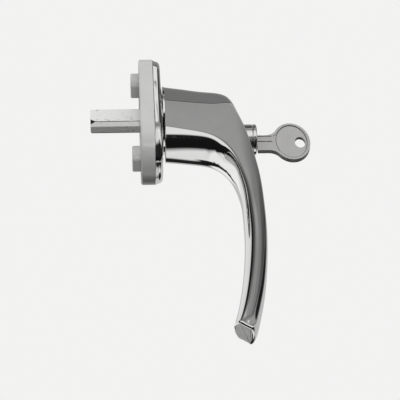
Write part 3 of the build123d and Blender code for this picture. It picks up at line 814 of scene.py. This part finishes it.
cap_rings += [
    round_ring(HOLE_RADIUS + HOLE_EDGE, front_out), round_ring(HOLE_RADIUS, front_out - HOLE_EDGE),
    round_ring(HOLE_RADIUS, SEAM_OUT), round_ring(HOLE_RADIUS + BOSS_WALL, SEAM_OUT),
    round_ring(HOLE_RADIUS + BOSS_WALL, ROOF_OUT), cover_ring(SKIRT + ROOF_INSET, ROOF_OUT),
    cover_ring(SKIRT, SEAM_OUT),
]
cap_faces = []
for i in range(len(cap_rings)):
    cap_faces += band(i, (i + 1) % len(cap_rings), COVER_POINTS)
cover = make_object("cover_cap", np.concatenate(cap_rings) * MM, cap_faces, cover_chrome, "cover")
outward(cover)
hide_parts("cover_plate")


# Camera, as found from the photograph: place in metres, and its right and up directions
CAMERA_PLACE = (-0.365289, 0.007568, -0.404503)
CAMERA_RIGHT = (-0.02866, -0.99824, -0.05186)
CAMERA_UP = (-0.70263, -0.01679, 0.71136)
CAMERA_LENS = 123.435
SENSOR_WIDTH = 36.0
camera_data = bpy.data.cameras.new("camera")
camera_data.sensor_width = SENSOR_WIDTH
camera_data.lens = CAMERA_LENS
camera_data.clip_start = 0.01
camera = bpy.data.objects.new("camera", camera_data)
scene.collection.objects.link(camera)
scene.camera = camera
right = Vector(CAMERA_RIGHT).normalized()
up = Vector(CAMERA_UP)
up = (up - right * up.dot(right)).normalized()
back = right.cross(up)
camera.matrix_world = Matrix((
    (right.x, up.x, back.x, CAMERA_PLACE[0]),
    (right.y, up.y, back.y, CAMERA_PLACE[1]),
    (right.z, up.z, back.z, CAMERA_PLACE[2]),
    (0, 0, 0, 1),
))

# Plain pale floor, well below the handle and the camera
FLOOR_DOWN = 0.62
FLOOR_HALF = 6.0
floor_mat, tree, shader = new_material("pale_floor")
floor_cloud = noise(tree, place_of(tree), 3.0, 2.0)
floor_colour = blend_colour(tree, floor_cloud, (0.95, 0.95, 0.945), (0.93, 0.93, 0.925))
tree.links.new(floor_colour, shader.inputs["Base Color"])
shader.inputs["Roughness"].default_value = 0.8
floor_data = bpy.data.meshes.new("floor")
floor_corners = [
    (x * FLOOR_HALF, y * FLOOR_HALF, -FLOOR_DOWN) for x, y in ((-1, -1), (1, -1), (1, 1), (-1, 1))
]
floor_data.from_pydata(floor_corners, [], [(0, 1, 2, 3)])
floor_data.materials.append(floor_mat)
floor = bpy.data.objects.new("floor", floor_data)
scene.collection.objects.link(floor)
floor.visible_glossy = False
floor.visible_diffuse = False
floor.visible_shadow = False

# Studio: a world of soft panels and flags, set by direction
scene.view_settings.view_transform = "Standard"
world = bpy.data.worlds.new("studio")
scene.world = world
world.use_nodes = True
tree = world.node_tree
tree.nodes.clear()
ray = tree.nodes.new("ShaderNodeTexCoord").outputs["Generated"]


def toward(axis):
    """How far the ray points along an axis given as (right, up, toward the camera)."""
    vector = (right * axis[0] + up * axis[1] + back * axis[2]).normalized()
    node = tree.nodes.new("ShaderNodeVectorMath")
    node.operation = "DOT_PRODUCT"
    node.inputs[1].default_value = vector
    tree.links.new(ray, node.inputs[0])
    return node.outputs["Value"]


def mixed(factor, first, second):
    """Second where the factor is 1, first where it is 0."""
    node = tree.nodes.new("ShaderNodeMix")
    node.data_type = "FLOAT"
    tree.links.new(factor, node.inputs["Factor"])
    feed(tree, node.inputs["A"], first)
    feed(tree, node.inputs["B"], second)
    return node.outputs["Result"]


def ring_of_panels(angle, panels):
    """Brightness around the left-right axis; angles in degrees above the line to the camera."""
    node = tree.nodes.new("ShaderNodeValToRGB")
    tree.links.new(angle, node.inputs["Fac"])
    ramp = node.color_ramp
    while len(ramp.elements) > 1:
        ramp.elements.remove(ramp.elements[-1])
    for number, (degrees, value) in enumerate(panels):
        spot = (degrees + 180) / 360
        if number == 0:
            element = ramp.elements[0]
            element.position = spot
        else:
            element = ramp.elements.new(spot)
        element.color = (value, value, value, 1)
    return node.outputs["Color"]


# Panels as (degrees above the line to the camera, brightness), for rays to the middle, left and right
MIDDLE_PANELS = (
    (-180, 0.55), (-139, 0.6), (-131, 0.02), (-102, 0.015), (-96, 0.85), (-84, 0.9), (-74, 0.35), (-66, 0.008),
    (21, 0.008), (29, 0.92), (62, 0.92), (76, 0.45), (81, 0.22), (88, 0.24), (92, 0.37), (98, 0.36),
    (101, 0.02), (117, 0.02), (122, 0.18), (145, 0.27), (170, 0.38), (180, 0.55),
)
LEFT_PANELS = (
    (-180, 1.0), (-96, 1.0), (-82, 0.5), (-70, 0.008), (21, 0.008), (29, 0.92), (68, 0.92), (80, 0.3),
    (86, 0.12), (94, 0.09), (99, 0.01), (116, 0.01), (121, 0.75), (150, 0.85), (180, 0.85),
)
FAR_LEFT_PANELS = (
    (-180, 0.8), (-112, 0.85), (-98, 0.55), (-88, 0.008), (104, 0.008), (114, 0.3), (130, 0.55), (150, 0.75),
    (180, 0.8),
)
RIGHT_PANELS = (
    (-180, 0.6), (-150, 0.5), (-135, 0.6), (-104, 0.6), (-94, 0.02), (10, 0.02), (28, 0.75), (66, 0.75), (76, 0.32),
    (105, 0.28), (118, 0.04), (150, 0.06), (172, 0.5), (180, 0.6),
)
# Sideways limits between which one set of panels passes into the next
LEFT_EDGE = (-0.42, -0.3)
RIGHT_EDGE = (0.5, 0.62)
FAR_LEFT_EDGE = (-0.82, -0.76)
sideways = toward((1, 0, 0))
turn = math_node(tree, "ARCTAN2", toward((0, 1, 0)), toward((0, 0, 1)))
around = remap(tree, turn, -math.pi, math.pi, 0.0, 1.0)
light = ring_of_panels(around, MIDDLE_PANELS)
light = mixed(remap(tree, sideways, *LEFT_EDGE, 1.0, 0.0), light, ring_of_panels(around, LEFT_PANELS))
light = mixed(remap(tree, sideways, *RIGHT_EDGE, 0.0, 1.0), light, ring_of_panels(around, RIGHT_PANELS))
light = mixed(remap(tree, sideways, *FAR_LEFT_EDGE, 1.0, 0.0), light, ring_of_panels(around, FAR_LEFT_PANELS))

# A shade toward the left, seen in the hollow of the grip: limits of its turn in radians and sideways
SHADE_START = (1.33, 1.38)
SHADE_END = (1.553, 1.588)
SHADE_SIDE = (-0.15, 0.1)
SHADE_KEEPS = 0.45
shade = times(tree, remap(tree, turn, *SHADE_START, 0.0, 1.0), remap(tree, turn, *SHADE_END, 1.0, 0.0))
shade = times(tree, shade, remap(tree, sideways, *SHADE_SIDE, 1.0, 0.0))
light = mixed(shade, light, times(tree, light, SHADE_KEEPS))

# A dark curved strip below and to the left, as (degrees, how far left) of its two edges
STRIP_FAR = (
    (-180, 0.36), (-175, 0.425), (-167, 0.575), (-156, 0.67), (-142, 0.71), (-127, 0.725), (-110, 0.66),
    (-100, 0.51), (-95, 0.36), (-91, 0.0),
)
STRIP_NEAR = (
    (-180, 0.34), (-175, 0.385), (-167, 0.52), (-158, 0.61), (-145, 0.645), (-133, 0.65), (-124, 0.55),
    (-116, 0.2), (-113, 0.0),
)
STRIP_SIDE = (0.12, 0.2)
STRIP_LIGHT = 0.01
leftward = times(tree, sideways, -1.0)
past_far = math_node(tree, "SUBTRACT", ring_of_panels(around, STRIP_FAR), leftward)
past_near = math_node(tree, "SUBTRACT", leftward, ring_of_panels(around, STRIP_NEAR))
strip = times(tree, remap(tree, past_far, 0.0, 0.012, 0.0, 1.0), remap(tree, past_near, -0.01, 0.0, 0.0, 1.0))
strip = times(tree, strip, remap(tree, leftward, *STRIP_SIDE, 0.0, 1.0))
strip = times(tree, strip, remap(tree, around, 0.002, 0.02, 0.3, 1.0))
light = mixed(strip, light, STRIP_LIGHT)

# A white card behind the right shoulder: its start and top in radians, and its sideways limits
CARD_START = (1.662, 1.673)
CARD_TOP = (0.17, 0.22, 1.712, 2.06)
CARD_LEFT = (0.09, 0.13)
CARD_RIGHT = (0.32, 0.42)
CARD_LIGHT = 0.85
card_top = math_node(tree, "SUBTRACT", remap(tree, sideways, *CARD_TOP), turn)
card = times(tree, remap(tree, turn, *CARD_START, 0.0, 1.0), remap(tree, card_top, 0.0, 0.02, 0.0, 1.0))
card = times(tree, card, remap(tree, sideways, *CARD_RIGHT, 1.0, 0.0))
light = mixed(times(tree, card, remap(tree, sideways, *CARD_LEFT, 0.0, 1.0)), light, CARD_LIGHT)

# Light from the far left, below the line to the camera, is held down
CAP_LIGHT = 0.45
CAP_SIDE = (-0.955, -0.93)
CAP_TURN = (-0.1, 0.1)
capped = math_node(tree, "MINIMUM", light, CAP_LIGHT)
cap_share = times(tree, remap(tree, sideways, *CAP_SIDE, 1.0, 0.0), remap(tree, turn, *CAP_TURN, 1.0, 0.0))
light = mixed(cap_share, light, capped)

# Reflections see the panels, matt surfaces a soft sky with a small lamp near the camera, the camera a pale wall.
# The lamp's way is (right, up, toward the camera), its inner and outer radius are in degrees
LAMP_WAY = (0.08, 0.17, 0.98)
LAMP_INNER = 5
LAMP_OUTER = 9
LAMP_GAIN = 9.0
SKY = (-0.5, 0.6, 0.02, 1.08)
WALL_COLOUR = (0.89, 0.89, 0.885, 1)
panel_light = tree.nodes.new("ShaderNodeBackground")
tree.links.new(light, panel_light.inputs["Color"])
soft_light = tree.nodes.new("ShaderNodeBackground")
sky = remap(tree, toward((0, 1, 0)), *SKY)
lamp_limits = (math.cos(math.radians(LAMP_OUTER)), math.cos(math.radians(LAMP_INNER)))
lamp = remap(tree, toward(LAMP_WAY), *lamp_limits, 0.0, LAMP_GAIN)
tree.links.new(math_node(tree, "ADD", sky, lamp), soft_light.inputs["Color"])
seen_light = tree.nodes.new("ShaderNodeBackground")
seen_light.inputs["Color"].default_value = WALL_COLOUR
path = tree.nodes.new("ShaderNodeLightPath")
inner = tree.nodes.new("ShaderNodeMixShader")
outer = tree.nodes.new("ShaderNodeMixShader")
out = tree.nodes.new("ShaderNodeOutputWorld")
tree.links.new(path.outputs["Is Glossy Ray"], inner.inputs[0])
tree.links.new(soft_light.outputs[0], inner.inputs[1])
tree.links.new(panel_light.outputs[0], inner.inputs[2])
tree.links.new(path.outputs["Is Camera Ray"], outer.inputs[0])
tree.links.new(inner.outputs[0], outer.inputs[1])
tree.links.new(seen_light.outputs[0], outer.inputs[2])
tree.links.new(outer.outputs[0], out.inputs["Surface"])
